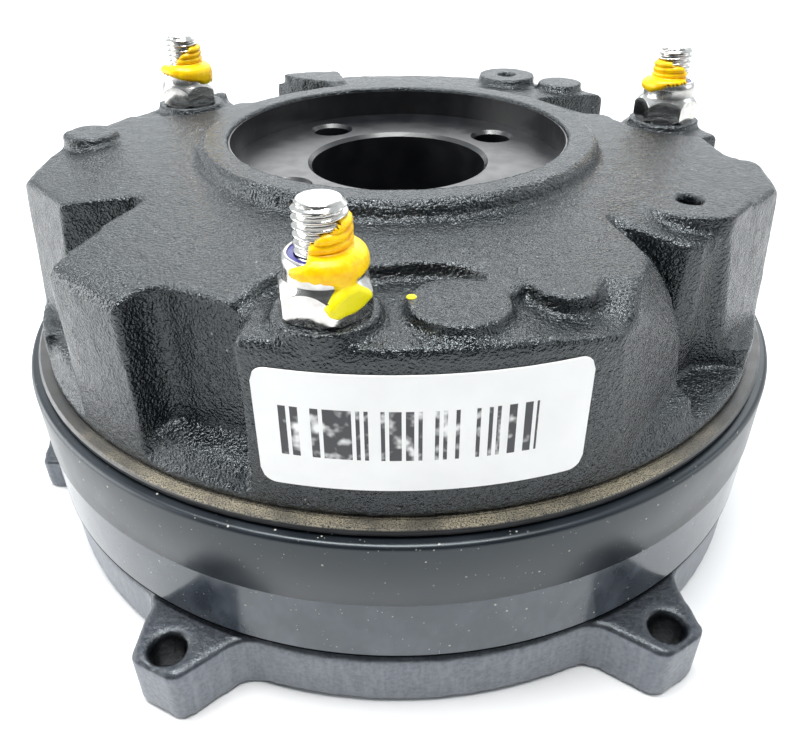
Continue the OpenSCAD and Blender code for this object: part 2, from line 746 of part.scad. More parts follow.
// Bare label that follows the front of the cast wall
module label() {
  half = label_w / 2;
  g0 = 0.03;
  color("#f2f2ee") intersection() {
    rotate_extrude() polygon([
      [wall_at(label_z - 2) + g0, label_z - 2], [wall_at(label_z - 2) + g0 + label_t, label_z - 2],
      [wall_at(label_z + label_h + 2) + g0 + label_t, label_z + label_h + 2],
      [wall_at(label_z + label_h + 2) + g0, label_z + label_h + 2]
    ]);
    rotate(label_az + 90) rotate([90, 0, 0]) translate([0, 0, wall_r / 2]) linear_extrude(wall_r)
      polygon(rounded([
        [-half, label_z], [half, label_z], [half, label_z + label_h], [-half, label_z + label_h]
      ], [2.5, 2.5, 2.5, 2.5]));
  }
}

friction_plate();
stud(0);  // stud_1
stud(1);  // stud_2
stud(2);  // stud_3
lock_nut(0);  // lock_nut_1
lock_nut(1);  // lock_nut_2
lock_nut(2);  // lock_nut_3
nylon_ring(0);  // nylon_ring_1
nylon_ring(1);  // nylon_ring_2
nylon_ring(2);  // nylon_ring_3
counter_spring(0);  // counter_spring_1
counter_spring(1);  // counter_spring_2
counter_spring(2);  // counter_spring_3
pressure_ring(0);  // pressure_ring_1
pressure_ring(1);  // pressure_ring_2
pressure_ring(2);  // pressure_ring_3
driver();
disc_carrier();
lining_lower();
lining_upper();
pressure_plate();
damping_plate();
brake_spring(0);  // brake_spring_1
brake_spring(1);  // brake_spring_2
brake_spring(2);  // brake_spring_3
brake_spring(3);  // brake_spring_4
brake_spring(4);  // brake_spring_5
brake_spring(5);  // brake_spring_6
magnet_body();
coil_former();
coil_winding();
coil_resin();
lead_grommet();
sealing_collar();
label();
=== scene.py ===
import math

import bmesh
import bpy
import numpy as np
from mathutils import Matrix, Vector, noise


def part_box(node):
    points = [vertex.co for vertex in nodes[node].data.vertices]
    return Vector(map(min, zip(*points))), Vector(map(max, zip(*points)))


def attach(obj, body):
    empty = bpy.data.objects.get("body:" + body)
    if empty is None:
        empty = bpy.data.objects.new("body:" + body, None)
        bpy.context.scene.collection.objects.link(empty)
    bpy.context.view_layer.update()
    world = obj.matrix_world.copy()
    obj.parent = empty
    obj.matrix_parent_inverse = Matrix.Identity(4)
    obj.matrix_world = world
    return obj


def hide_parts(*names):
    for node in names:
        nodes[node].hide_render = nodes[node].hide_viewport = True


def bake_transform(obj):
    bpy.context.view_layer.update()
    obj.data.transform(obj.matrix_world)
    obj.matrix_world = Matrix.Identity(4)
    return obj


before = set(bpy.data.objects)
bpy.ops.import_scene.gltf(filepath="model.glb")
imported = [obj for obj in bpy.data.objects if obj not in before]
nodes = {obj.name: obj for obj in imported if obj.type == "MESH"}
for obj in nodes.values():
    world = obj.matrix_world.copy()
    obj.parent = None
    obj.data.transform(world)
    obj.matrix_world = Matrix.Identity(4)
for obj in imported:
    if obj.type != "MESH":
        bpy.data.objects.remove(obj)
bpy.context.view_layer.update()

# One millimetre in metres; sizes below are in millimetres unless a comment says otherwise
MM = 0.001

# Height where the collar's upper band ends and the lower one starts
LOWER_BAND_H = 14.6
BAND_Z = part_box("sealing_collar")[0].z / MM + LOWER_BAND_H

# Places of the four lug holes on the friction plate
LUG_CIRCLE_R = 92.0
LUG_ANGLES = (-57.5, -117.5, 122.5, 62.5)
LUG_HOLES = [
    (LUG_CIRCLE_R * math.cos(math.radians(a)), LUG_CIRCLE_R * math.sin(math.radians(a)))
    for a in LUG_ANGLES
]

# Colour of the pale dust on the black surfaces
PALE_DUST = (0.30, 0.30, 0.29)
COOL_TINT = (0.88, 0.96, 1.0, 1.0)


# Small helpers for node materials; coordinates reach the nodes in millimetres
class Mat:
    def __init__(self, name, **sockets):
        self.mat = bpy.data.materials.new(name)
        self.mat.use_nodes = True
        self.tree = self.mat.node_tree
        self.bsdf = self.tree.nodes["Principled BSDF"]
        for key, value in sockets.items():
            self.bsdf.inputs[key.replace("_", " ")].default_value = value
        coords = self.tree.nodes.new("ShaderNodeTexCoord")
        scale = self.tree.nodes.new("ShaderNodeVectorMath")
        scale.operation = "SCALE"
        scale.inputs["Scale"].default_value = 1 / MM
        self.tree.links.new(coords.outputs["Object"], scale.inputs[0])
        self.mm = scale.outputs[0]
        split = self.tree.nodes.new("ShaderNodeSeparateXYZ")
        self.tree.links.new(self.mm, split.inputs[0])
        self.x, self.y, self.z = split.outputs

    # Links a socket or sets a constant
    def put(self, value, socket):
        if isinstance(value, bpy.types.NodeSocket):
            self.tree.links.new(value, socket)
        else:
            socket.default_value = value

    # Coordinates stretched along each axis
    def stretch(self, x, y, z):
        node = self.tree.nodes.new("ShaderNodeVectorMath")
        node.operation = "MULTIPLY"
        node.inputs[1].default_value = (x, y, z)
        self.tree.links.new(self.mm, node.inputs[0])
        return node.outputs[0]

    def noise(self, scale, detail=2.0, rough=0.5, at=None):
        node = self.tree.nodes.new("ShaderNodeTexNoise")
        self.tree.links.new(self.mm if at is None else at, node.inputs["Vector"])
        node.inputs["Scale"].default_value = scale
        node.inputs["Detail"].default_value = detail
        node.inputs["Roughness"].default_value = rough
        return node.outputs[0]

    # Distance to the nearest of scattered points
    def cells(self, scale):
        node = self.tree.nodes.new("ShaderNodeTexVoronoi")
        node.inputs["Scale"].default_value = scale
        self.tree.links.new(self.mm, node.inputs["Vector"])
        return node.outputs["Distance"]

    def math(self, kind, a, b=0.0):
        node = self.tree.nodes.new("ShaderNodeMath")
        node.operation = kind
        for value, socket in zip((a, b), node.inputs):
            self.put(value, socket)
        return node.outputs[0]

    def plus(self, a, b):
        return self.math("ADD", a, b)

    def times(self, a, b):
        return self.math("MULTIPLY", a, b)

    def rest(self, share):
        return self.math("SUBTRACT", 1.0, share)

    # Smooth step from low to high
    def span(self, value, low, high, out_low=0.0, out_high=1.0):
        node = self.tree.nodes.new("ShaderNodeMapRange")
        node.interpolation_type = "SMOOTHSTEP"
        for socket, v in zip(node.inputs, (value, low, high, out_low, out_high)):
            self.put(v, socket)
        return node.outputs[0]

    def mix(self, share, a, b):
        node = self.tree.nodes.new("ShaderNodeMix")
        node.data_type = "RGBA"
        self.put(share, node.inputs[0])
        for value, socket in ((a, node.inputs[6]), (b, node.inputs[7])):
            constant = not isinstance(value, bpy.types.NodeSocket)
            self.put((*value, 1.0) if constant else value, socket)
        return node.outputs[2]

    # How far a face looks up: 1 on a top, 0 on a wall
    def up(self):
        geo = self.tree.nodes.new("ShaderNodeNewGeometry")
        split = self.tree.nodes.new("ShaderNodeSeparateXYZ")
        self.tree.links.new(geo.outputs["Normal"], split.inputs[0])
        return split.outputs[2]

    # Distance from an upright axis
    def radius(self, x=0.0, y=0.0):
        dx = self.math("SUBTRACT", self.x, x)
        dy = self.math("SUBTRACT", self.y, y)
        return self.math("SQRT", self.plus(self.times(dx, dx), self.times(dy, dy)))

    # Specks of dust that gather in patches
    def specks(self, scale, outer, inner, patch_scale, patch_low, patch_high):
        dots = self.span(self.cells(scale), outer, inner)
        patches = self.span(self.noise(patch_scale), patch_low, patch_high)
        return self.times(dots, patches)

    def color(self, value):
        self.put(value, self.bsdf.inputs["Base Color"])

    def rough(self, value):
        self.put(value, self.bsdf.inputs["Roughness"])

    # Bump with its depth in metres
    def bump(self, height, depth, strength):
        node = self.tree.nodes.new("ShaderNodeBump")
        node.inputs["Strength"].default_value = strength
        node.inputs["Distance"].default_value = depth
        self.tree.links.new(height, node.inputs["Height"])
        self.tree.links.new(node.outputs[0], self.bsdf.inputs["Normal"])


# Rough black painted casting
def casting_material():
    valley, ridge = (0.0020, 0.0028, 0.0044), (0.0044, 0.0054, 0.0070)
    faded = (0.009, 0.0100, 0.0112)
    grain_depth = 0.00075
    tint = (0.90, 0.975, 1.0, 1.0)
    m = Mat("black_casting", Specular_IOR_Level=0.75, Specular_Tint=tint)
    coarse = m.noise(0.45)
    grain = m.noise(1.9)
    height = m.plus(m.times(coarse, 0.45), m.times(grain, 0.55))
    shade = m.mix(m.span(grain, 0.35, 0.7), valley, ridge)
    patch = m.span(m.noise(0.06), 0.42, 0.68)
    shade = m.mix(m.times(patch, 0.3), shade, faded)
    speck = m.specks(0.5, 0.13, 0.07, 0.2, 0.50, 0.60)
    m.color(m.mix(m.times(speck, 0.7), shade, PALE_DUST))
    m.rough(m.span(m.noise(0.5), 0.3, 0.7, 0.12, 0.24))
    m.bump(height, grain_depth, 0.95)
    return m.mat


# Smooth satin black of the machined recess, bore and flange, with tan dust on the ledge
def satin_material():
    dark, light = (0.004, 0.0045, 0.006), (0.008, 0.0085, 0.010)
    tan = (0.46, 0.405, 0.28)
    ledge_z, ledge_r = (43.2, 43.5), (79.8, 80.6)
    front_y = (-48.0, -70.0)
    m = Mat("satin_black", Specular_IOR_Level=0.8)
    turn = m.noise(1.0, at=m.stretch(0.06, 0.06, 1.0))
    base = m.mix(m.span(m.noise(0.1), 0.3, 0.7), dark, light)
    ledge = m.times(m.span(m.z, *ledge_z), m.span(m.radius(), *ledge_r))
    heap = m.span(m.noise(0.09, 3.0, 0.6), 0.36, 0.60, 0.35, 1.0)
    heap = m.times(heap, m.span(m.y, *front_y, 0.06, 1.0))
    fleck = m.span(m.noise(3.6, 3.0, 0.75), 0.42, 0.56)
    dust = m.times(m.times(ledge, heap), fleck)
    m.color(m.mix(m.times(dust, 0.85), base, tan))
    smooth = m.span(m.noise(0.25, 3.0), 0.3, 0.7, 0.28, 0.38)
    m.rough(m.plus(smooth, m.times(dust, 0.4)))
    marks = m.times(m.plus(turn, m.noise(2.2)), 0.15)
    m.bump(m.plus(marks, dust), 0.00016, 0.6)
    return m.mat


# Black rubber in two bands: dark and dusty above, paler and glossy below, with a painted shadow
# at the foot where it meets the plate
def rubber_material():
    upper_dark, upper_light = (0.0035, 0.0060, 0.0095), (0.0075, 0.0110, 0.0160)
    lower_dark, lower_light = (0.034, 0.041, 0.052), (0.064, 0.073, 0.089)
    shadow, warm_dust = (0.0015, 0.0018, 0.0026), (0.55, 0.52, 0.45)
    shadow_top, shadow_full = BAND_Z - 13.2, BAND_Z - 13.4
    upper_shine, lower_shine = 0.62, 0.85
    m = Mat("black_rubber", Specular_Tint=COOL_TINT)
    low = m.span(m.z, BAND_Z + 0.05, BAND_Z - 0.05)
    # Painted shadow of the dark gap between the collar's foot and the plate: black colour,
    # raised roughness and no sheen there
    foot = m.span(m.z, shadow_top, shadow_full)
    streak = m.noise(1.0, 3.0, 0.6, m.stretch(0.12, 0.12, 0.08))
    haze = m.noise(0.07, 3.0, 0.6)
    upper = m.mix(m.span(haze, 0.35, 0.7), upper_dark, upper_light)
    lower = m.mix(m.span(streak, 0.4, 0.7), lower_dark, lower_light)
    speck = m.specks(0.40, 0.105, 0.06, 0.16, 0.42, 0.54)
    fine = m.specks(0.85, 0.14, 0.07, 0.3, 0.46, 0.60)
    dust = m.math("MAXIMUM", speck, m.times(fine, 0.7))
    base = m.mix(m.times(dust, 0.85), m.mix(low, upper, lower), warm_dust)
    # Painted shadow at the foot laid over the rubber colour
    m.color(m.mix(foot, base, shadow))
    wet = m.span(streak, 0.3, 0.75, 0.13, 0.22)
    dull = m.span(haze, 0.3, 0.7, 0.30, 0.37)
    gloss = m.plus(m.times(low, wet), m.times(m.rest(low), dull))
    m.rough(m.plus(gloss, m.times(m.math("MAXIMUM", dust, foot), 0.3)))
    shine = m.span(low, 0.0, 1.0, upper_shine, lower_shine)
    m.put(m.times(shine, m.rest(foot)), m.bsdf.inputs["Specular IOR Level"])
    m.bump(m.plus(m.times(streak, 0.6), m.times(dust, 0.7)), 0.00012, 0.35)
    return m.mat


# Coated iron of the friction plate: dark rough top, sides painted paler as painted light with
# faint upright streaks, painted shade in the lug holes
def plate_material():
    top_dark, top_light = (0.018, 0.021, 0.027), (0.046, 0.051, 0.062)
    painted_light_wall_dark, painted_light_wall_light = (0.120, 0.131, 0.155), (0.185, 0.198, 0.225)
    pale_streak, hole_shade = (0.28, 0.294, 0.325), (0.003, 0.0036, 0.005)
    shade_start_r, shade_full_r = 4.2, 3.6
    m = Mat("plate_iron", Specular_IOR_Level=0.7, Specular_Tint=COOL_TINT)
    streak = m.noise(1.0, 4.0, 0.65, m.stretch(0.7, 0.7, 0.10))
    # Painted light: faces are picked by how far they look up, and walls get a paler colour than
    # tops for the brightness they take from the bright surroundings
    side = m.span(m.up(), 0.55, 0.2)
    grain = m.noise(1.1, 3.0, 0.6)
    top = m.mix(m.span(grain, 0.3, 0.7), top_dark, top_light)
    # Wall colour is painted light, paler than the top; the pale upright streaks mixed in next
    # are real marks
    wall = m.mix(m.span(grain, 0.3, 0.7), painted_light_wall_dark, painted_light_wall_light)
    line = m.times(m.span(streak, 0.42, 0.72), 0.5)
    base = m.mix(side, top, m.mix(line, wall, pale_streak))
    speck = m.specks(0.9, 0.14, 0.06, 0.3, 0.46, 0.62)
    base = m.mix(m.times(speck, 0.5), base, PALE_DUST)
    # Painted shade in the four lug holes: their walls and rims turn black
    nearest = m.radius(*LUG_HOLES[0])
    for x, y in LUG_HOLES[1:]:
        nearest = m.math("MINIMUM", nearest, m.radius(x, y))
    m.color(m.mix(m.span(nearest, shade_start_r, shade_full_r), base, hole_shade))
    m.rough(m.span(streak, 0.3, 0.7, 0.30, 0.46))
    m.bump(m.plus(m.times(grain, 0.8), m.times(streak, 0.4)), 0.00028, 0.7)
    return m.mat


# Bright plated steel of studs and nuts
def zinc_material():
    bright, cloudy = (0.70, 0.69, 0.67), (0.54, 0.52, 0.49)
    m = Mat("zinc_steel", Metallic=1.0)
    m.color(m.mix(m.span(m.noise(0.7, 3.0, 0.6), 0.3, 0.75), bright, cloudy))
    m.rough(m.span(m.noise(1.8, 3.0, 0.6), 0.3, 0.7, 0.15, 0.23))
    m.bump(m.noise(2.4, 3.0), 0.00002, 0.3)
    return m.mat


# Thick yellow marking paint, paler where it has run down onto the flats
def paint_material():
    yellow, orange, lemon = (1.0, 0.66, 0.0), (0.92, 0.47, 0.0), (0.86, 0.76, 0.004)
    flats_z = (83.6, 82.0)
    m = Mat("marking_paint", Specular_IOR_Level=0.35)
    base = m.mix(m.span(m.noise(0.55), 0.35, 0.7), yellow, orange)
    m.color(m.mix(m.span(m.z, *flats_z), base, lemon))
    m.rough(m.span(m.noise(0.9), 0.3, 0.7, 0.26, 0.42))
    m.bump(m.noise(0.9), 0.00010, 0.4)
    return m.mat


# Plain material for a piece: two shades, a roughness range and a fine grain
def plain_material(
    name, dark, light, rough, metallic=0.0, grain=1.0, depth=0.00006, stretch=None
):
    m = Mat(name, Metallic=metallic)
    at = None if stretch is None else m.stretch(*stretch)
    pattern = m.noise(grain, 3.0, 0.6, at)
    m.color(m.mix(m.span(pattern, 0.3, 0.7), dark, light))
    m.rough(m.span(m.noise(grain * 0.6), 0.3, 0.7, *rough))
    m.bump(pattern, depth, 0.5)
    return m.mat


# White film with a block of plain bars that stand for nothing
def label_material(box):
    wall_r, bar_step, past_zero = 80.9, 0.62, 200.0
    bar_share = 0.47
    below, above, left_margin, right_margin = 4.6, 4.4, 3.6, 8.0
    white, off_white, ink_black = (0.93, 0.93, 0.92), (0.89, 0.89, 0.88), (0.045, 0.045, 0.050)
    m = Mat("white_label")
    low, high = box[0] / MM, box[1] / MM
    angle = m.math("ARCTAN2", m.x, m.times(m.y, -1.0))
    along = m.times(angle, wall_r)
    column = m.math("SNAP", m.plus(along, past_zero), bar_step)
    pick = m.tree.nodes.new("ShaderNodeTexWhiteNoise")
    pick.noise_dimensions = "1D"
    m.tree.links.new(column, pick.inputs["W"])
    bar = m.math("GREATER_THAN", pick.outputs["Value"], bar_share)
    mid = (low.z + high.z) / 2
    over = m.math("GREATER_THAN", m.z, mid - below)
    under = m.math("LESS_THAN", m.z, mid + above)
    right_of = m.math("GREATER_THAN", along, low.x + left_margin)
    left_of = m.math("LESS_THAN", along, high.x - right_margin)
    block = m.times(m.times(over, under), m.times(right_of, left_of))
    worn = m.span(m.noise(0.35), 0.30, 0.52)
    film = m.mix(m.span(m.noise(0.12), 0.3, 0.7), white, off_white)
    m.color(m.mix(m.times(m.times(bar, block), worn), film, ink_black))
    m.rough(m.span(m.noise(0.5), 0.3, 0.7, 0.36, 0.48))
    m.bump(m.noise(0.25), 0.00005, 0.3)
    return m.mat


CASTING = casting_material()
SATIN = satin_material()
RUBBER = rubber_material()
PLATE = plate_material()
ZINC = zinc_material()
PAINT = paint_material()
NYLON = plain_material("blue_nylon", (0.030, 0.028, 0.20), (0.050, 0.046, 0.28), (0.3, 0.42))
STEEL = plain_material(
    "machined_steel", (0.40, 0.41, 0.43), (0.52, 0.53, 0.55), (0.24, 0.38), 1.0, 0.8
)
SPRING = plain_material(
    "spring_steel", (0.26, 0.27, 0.29), (0.36, 0.37, 0.39), (0.28, 0.4), 1.0, 1.5
)
LINING = plain_material(
    "friction_lining", (0.10, 0.075, 0.058), (0.18, 0.14, 0.11), (0.7, 0.85), 0.0, 1.2, 0.0002
)
FORMER = plain_material("former_plastic", (0.62, 0.57, 0.44), (0.70, 0.65, 0.52), (0.4, 0.5))
COPPER = plain_material(
    "copper_wire",
    (0.55, 0.24, 0.10),
    (0.68, 0.33, 0.15),
    (0.25, 0.38),
    1.0,
    1.0,
    0.0002,
    (0.02, 0.02, 1.6),
)
RESIN = plain_material("potting_resin", (0.07, 0.042, 0.028), (0.11, 0.07, 0.045), (0.2, 0.32))


# Adds an object to the scene
def show(name, data):
    obj = bpy.data.objects.new(name, data)
    bpy.context.scene.collection.objects.link(obj)
    return obj


# Mesh from points in millimetres
def mesh_of(name, points, faces):
    mesh = bpy.data.meshes.new(name)
    mesh.from_pydata([tuple(c * MM for c in p) for p in points], [], faces)
    return mesh


# Gives a mesh its material, sets it on a body and hides the nodes it stands for
def settle(name, mesh, mat, body, slot, *stands_for, sharp):
    mesh.materials.clear()
    mesh.materials.append(mat)
    mesh.polygons.foreach_set("use_smooth", [True] * len(mesh.polygons))
    if sharp:
        mesh.set_sharp_from_angle(angle=math.radians(sharp))
    mesh.update()
    obj = show(name, mesh)
    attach(obj, body)
    if stands_for:
        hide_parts(*stands_for)
    return obj


# A welded copy of a node's mesh
def copy_mesh(node):
    weld = 2e-6
    mesh = nodes[node].data.copy()
    mesh.name = node + "_shape"
    work = bmesh.new()
    work.from_mesh(mesh)
    bmesh.ops.remove_doubles(work, verts=work.verts, dist=weld)
    for face in work.faces:
        face.smooth = True
    work.to_mesh(mesh)
    work.free()
    if mesh.has_custom_normals:
        mesh.attributes.remove(mesh.attributes["custom_normal"])
    return mesh


# Runs modifiers on a scratch object and gives back the finished mesh
def finish_mesh(mesh, *steps):
    obj = show("scratch", mesh)
    for kind, values in steps:
        mod = obj.modifiers.new(kind.lower(), kind)
        for key, value in values.items():
            setattr(mod, key, value)
    bpy.context.view_layer.update()
    evaluated = obj.evaluated_get(bpy.context.evaluated_depsgraph_get())
    made = bpy.data.meshes.new_from_object(evaluated)
    bpy.data.objects.remove(obj)
    return made


# Steps for finish_mesh that round a solid as a casting is rounded
def cast_steps(voxel):
    remesh = dict(mode="VOXEL", voxel_size=voxel * MM, adaptivity=0.0)
    smooth = dict(factor=0.5, iterations=2)
    return ("REMESH", remesh), ("SMOOTH", smooth)


# Boolean step for finish_mesh
def boolean(kind, cutter):
    return "BOOLEAN", dict(operation=kind, object=cutter, solver="EXACT")


# Drops loose points, welds points that coincide and closes what is left open
def mend(mesh, weld=2e-6):
    work = bmesh.new()
    work.from_mesh(mesh)
    loose = [v for v in work.verts if not v.link_faces]
    bmesh.ops.delete(work, geom=loose, context="VERTS")
    bmesh.ops.remove_doubles(work, verts=work.verts, dist=weld)
    bmesh.ops.dissolve_degenerate(work, edges=work.edges, dist=weld)
    rim = [e for e in work.edges if e.is_boundary]
    bmesh.ops.holes_fill(work, edges=rim, sides=0)
    work.to_mesh(mesh)
    work.free()
    return mesh


# Ring shaped cutter between two radii and two heights
def ring_cutter(r0, r1, z0, z1, count=192):
    points, faces = [], []
    corners = ((r0, z0), (r1, z0), (r1, z1), (r0, z1))
    for i in range(count):
        a = math.tau * (i + 0.37) / count
        points += [(r * math.cos(a), r * math.sin(a), z) for r, z in corners]
        j = (i + 1) % count
        for k in range(4):
            m = (k + 1) % 4
            faces.append((4 * i + k, 4 * j + k, 4 * j + m, 4 * i + m))
    mesh = mesh_of("cutter", points, faces)
    work = bmesh.new()
    work.from_mesh(mesh)
    bmesh.ops.recalc_face_normals(work, faces=work.faces)
    work.to_mesh(mesh)
    work.free()
    return show("cutter", mesh)


# The part of a mesh in front of or behind a plane across the brake, closed again
def half(mesh, y, front):
    work = bmesh.new()
    work.from_mesh(mesh)
    cut = bmesh.ops.bisect_plane(
        work,
        geom=work.verts[:] + work.edges[:] + work.faces[:],
        plane_co=(0, y * MM, 0),
        plane_no=(0, 1, 0),
        clear_outer=front,
        clear_inner=not front,
    )
    rim = [e for e in cut["geom_cut"] if isinstance(e, bmesh.types.BMEdge)]
    bmesh.ops.edgeloop_fill(work, edges=rim)
    bmesh.ops.recalc_face_normals(work, faces=work.faces)
    made = bpy.data.meshes.new("half")
    work.to_mesh(made)
    work.free()
    return made


# Evens out the points of a mesh within a radius of a spot, least at its rim
def calm(mesh, co, spot, radius, rounds):
    pull = 0.6
    near = 1 - np.linalg.norm(co / MM - np.array(spot), axis=1) / radius
    near = np.clip(near * 2, 0, 1)
    ends = np.empty(len(mesh.edges) * 2, dtype=np.int64)
    mesh.edges.foreach_get("vertices", ends)
    ends = ends.reshape(-1, 2)
    ends = ends[(near[ends] > 0).any(axis=1)]
    both = np.concatenate((ends, ends[:, ::-1]))
    count = np.maximum(np.bincount(both[:, 0], minlength=len(co)), 1)[:, None]
    for _ in range(rounds):
        total = np.zeros_like(co)
        np.add.at(total, both[:, 0], co[both[:, 1]])
        co += (total / count - co) * near[:, None] * pull


# Height of the sand-cast lumps at a point
def lump_at(point):
    wide_height, wide_scale = 0.13, 0.2
    small_height, small_scale = 0.08, 0.5
    place = Vector(point)
    wide = wide_height * noise.noise(place * wide_scale)
    return wide + small_height * noise.noise(place * small_scale)


# The casting: its rough outside is cut free, rounded and given sand-cast lumps
def build_casting():
    seam_r, seam_z, split_y = 36.7, 43.85, 21.0
    far_r, far_z, inside_r = 140.0, 120.0, 30.0
    rim_width, rim_depth, voxel = 0.7, 0.8, 0.74
    label_az, label_z, label_r = (-114, -62), (48.5, 72.5), 78
    notch, notch_r, notch_rounds = (35.5, -66.5, 75.6), 6.0, 40
    hub_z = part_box("magnet_body")[1].z / MM
    outside = ring_cutter(seam_r, far_r, seam_z, far_z)
    rim = ring_cutter(inside_r, seam_r + rim_width, hub_z - rim_depth, far_z)
    rough = finish_mesh(copy_mesh("magnet_body"), boolean("INTERSECT", outside))
    inner = finish_mesh(
        copy_mesh("magnet_body"), boolean("DIFFERENCE", outside), boolean("DIFFERENCE", rim)
    )
    bpy.data.objects.remove(outside)
    bpy.data.objects.remove(rim)
    rough = finish_mesh(rough, *cast_steps(voxel))
    co = np.empty(len(rough.vertices) * 3)
    rough.vertices.foreach_get("co", co)
    co = co.reshape(-1, 3)
    normals = np.array([v.normal for v in rough.vertices])
    mm = co / MM
    z = mm[:, 2]
    r = np.hypot(mm[:, 0], mm[:, 1])
    az = np.degrees(np.arctan2(mm[:, 1], mm[:, 0]))
    lump = np.array([lump_at(p) for p in mm])
    # No lumps at the seams, and only faint ones behind the label
    keep = np.clip((r - seam_r - 0.5) / 3.0, 0, 1) * np.clip((z - seam_z - 0.4) / 2.0, 0, 1)
    beside = (az > label_az[0]) & (az < label_az[1])
    level = (z > label_z[0]) & (z < label_z[1])
    keep = np.where(beside & level & (r > label_r), 0.25 * keep, keep)
    co = co + normals * (lump * keep)[:, None] * MM
    calm(rough, co, notch, notch_r, notch_rounds)
    rough.vertices.foreach_set("co", co.ravel())
    for name, front in (("casting_front", True), ("casting_back", False)):
        part = half(rough, split_y, front)
        settle(name, part, CASTING, "brake", "black_casting", "magnet_body", sharp=75)
    bore = mend(inner)
    settle("casting_bore", bore, SATIN, "brake", "black_casting", "magnet_body", sharp=32)


build_casting()

# Stud and nut sizes, from the solids; the thread is M8
STUD_R, PITCH, DEPTH = 4.0, 1.25, 0.66
nut_low, nut_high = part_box("lock_nut_1")
stud_low, stud_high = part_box("stud_1")
NUT_Z, NUT_TOP = nut_low.z / MM, nut_high.z / MM
STUD_Z, TIP_Z = stud_low.z / MM, stud_high.z / MM
CENTRES = []
for i in (1, 2, 3):
    a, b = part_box("stud_%d" % i)
    CENTRES.append(((a.x + b.x) / 2 / MM, (a.y + b.y) / 2 / MM))


# Radius of the thread at a height and a turn
def thread_r(z, turn):
    crest, flank = 0.14, 0.72
    u = (z / PITCH - turn / math.tau) % 1.0
    t = abs(2 * u - 1)
    t = min(1.0, max(0.0, (t - crest) / flank))
    return STUD_R - DEPTH * t


# Stud with a cut thread above the nut and a chamfered, slightly dished tip
def build_stud(i):
    cx, cy = CENTRES[i]
    count, row_step, hidden_thread = 64, 0.115, 2.4
    chamfer_r, chamfer_slope = 3.08, 0.95
    shank_r, foot_r, foot_h = STUD_R - 0.02, STUD_R - 0.9, 0.9
    dish = ((0.0, 0.12), (1.6, 0.12), (2.5, 0.08), (2.8, 0.02), (3.0, 0.01))
    rows = [[(r, TIP_Z - down)] * count for r, down in dish]
    z = TIP_Z - 0.02
    while z > NUT_TOP - hidden_thread:
        limit = chamfer_r + (TIP_Z - z) * chamfer_slope
        rows.append([(min(limit, thread_r(z, math.tau * j / count)), z) for j in range(count)])
        z -= row_step
    foot = ((shank_r, z - 0.3), (shank_r, STUD_Z + foot_h), (foot_r, STUD_Z), (0.0, STUD_Z))
    rows += [[point] * count for point in foot]
    points, faces = [], []
    for line in rows:
        for j, (r, height) in enumerate(line):
            a = math.tau * j / count
            points.append((cx + r * math.cos(a), cy + r * math.sin(a), height))
    for k in range(len(rows) - 1):
        for j in range(count):
            n = (j + 1) % count
            lower, upper = (k + 1) * count, k * count
            faces.append((upper + j, lower + j, lower + n, upper + n))
    name, node = "stud_thread_%d" % (i + 1), "stud_%d" % (i + 1)
    mesh = mesh_of(name, points, faces)
    obj = settle(name, mesh, ZINC, "brake", "zinc_steel", node, sharp=0)
    work = bmesh.new()
    work.from_mesh(obj.data)
    bmesh.ops.remove_doubles(work, verts=work.verts, dist=1e-7)
    work.to_mesh(obj.data)
    work.free()
    obj.data.set_sharp_from_angle(angle=math.radians(50))


# Nut sizes above its seat: flats, round collar, where the flats end and the collar starts
HEX_R, COLLAR_R, FLAT_Z, COLLAR_Z = 6.5, 6.0, 4.85, 5.6
NUT_H = NUT_TOP - NUT_Z
DOME_H, DOME_W = 1.7, 0.9
DOME_Z = NUT_H - DOME_H
CONE_R = HEX_R + 0.12


# Angle of a corner of the nut's hexagon
def corner_of(i):
    cx, cy = CENTRES[i]
    return math.atan2(cy, cx) + math.radians(20)


# Turned solid from a closed outline of radius and height
def lathe(outline, cx, cy, z0, count=120):
    points, faces = [], []
    size = len(outline)
    for i in range(count):
        a = math.tau * (i + 0.31) / count
        c, s = math.cos(a), math.sin(a)
        points += [(cx + r * c, cy + r * s, z0 + z) for r, z in outline]
        for k in range(size):
            m, j = (k + 1) % size, (i + 1) % count
            faces.append((size * i + k, size * j + k, size * j + m, size * i + m))
    return mesh_of("turned", points, faces)


